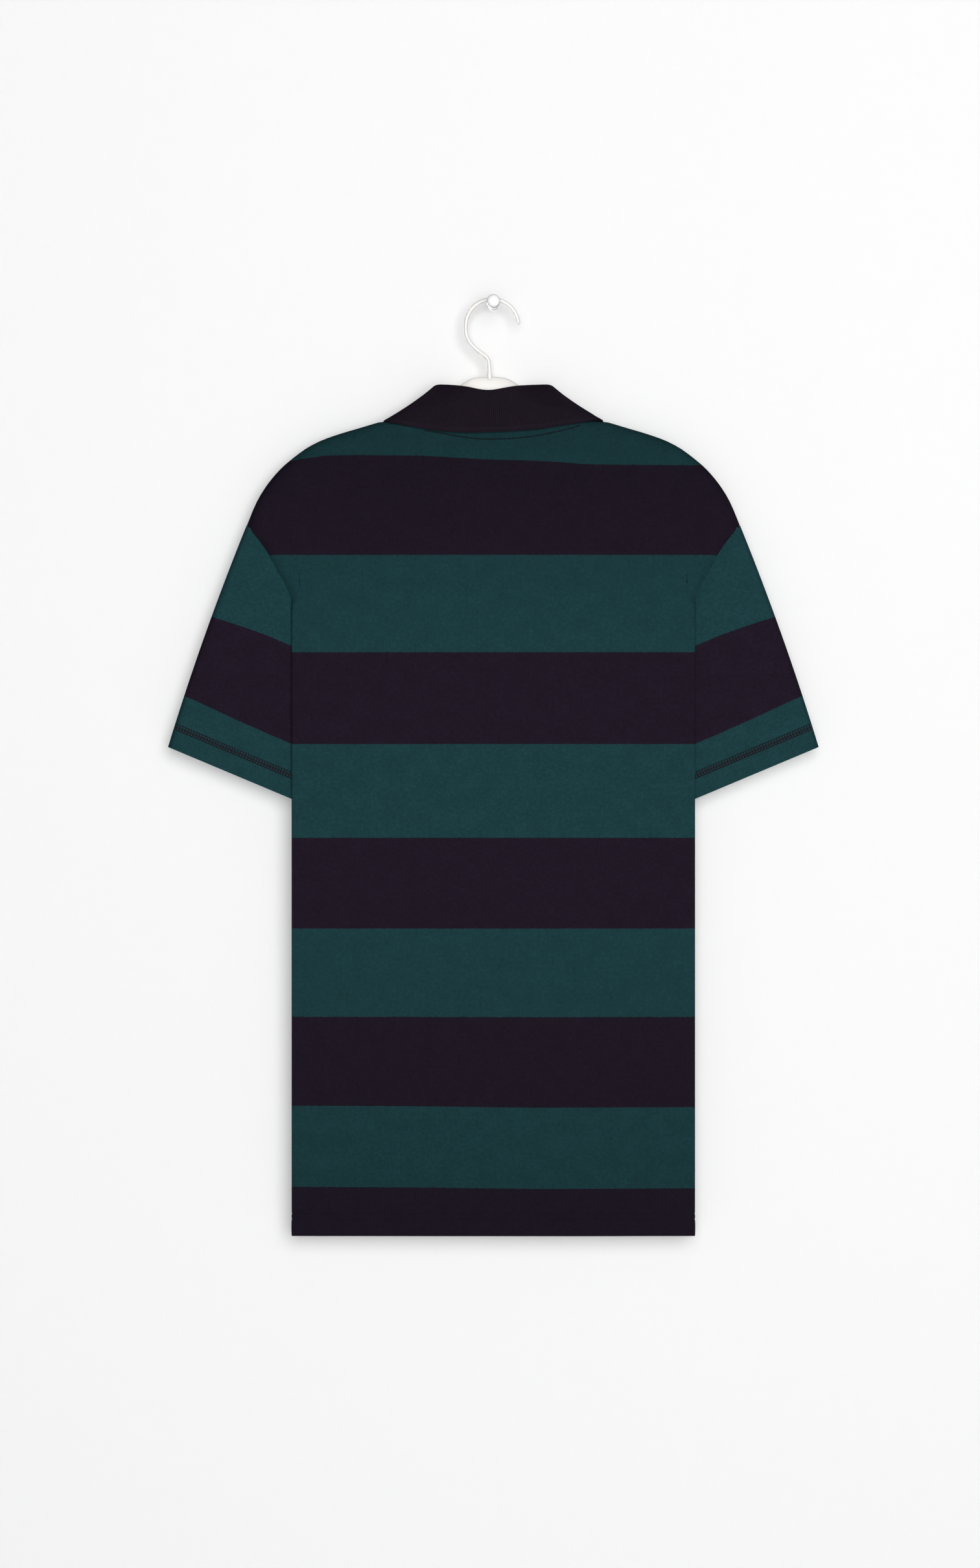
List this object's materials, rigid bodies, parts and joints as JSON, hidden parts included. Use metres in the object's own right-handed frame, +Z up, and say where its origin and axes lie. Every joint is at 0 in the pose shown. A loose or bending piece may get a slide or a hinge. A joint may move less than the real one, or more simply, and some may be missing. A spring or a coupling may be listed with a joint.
{
  "type": "polo shirt on a hanger and wall peg",
  "caption": "Short-sleeved striped polo shirt with a rib-knit collar and a buttoned placket, hung flat on a plastic hanger from a round wall peg, its back to the viewer.",
  "frame": {"origin": "centre of the wall peg's flat back face, on the wall", "axes": "+Z up, +X to the viewer's right, +Y into the wall; the shirt's back faces -Y, towards the viewer"},
  "size_m": [0.6032, 0.0403, 0.87],
  "materials": {
    "striped_knit": "matt cotton knit in wide navy and dark teal stripes",
    "plain_knit": "matt cotton knit",
    "rib_knit": "matt rib knit",
    "button_resin": "satin resin",
    "hanger_plastic": "satin off-white plastic",
    "peg_plastic": "satin white plastic"
  },
  "bodies": {
    "root": {"back_panel": "striped_knit", "front_panel": "striped_knit", "sleeve_left": "striped_knit", "sleeve_right": "striped_knit", "collar": "rib_knit", "placket_upper": "plain_knit", "placket_under": "plain_knit", "button_1": "button_resin", "button_2": "button_resin", "button_3": "button_resin", "hanger": "hanger_plastic", "hanger_hook": "hanger_plastic", "wall_peg": "peg_plastic"}
  },
  "joints": []
}
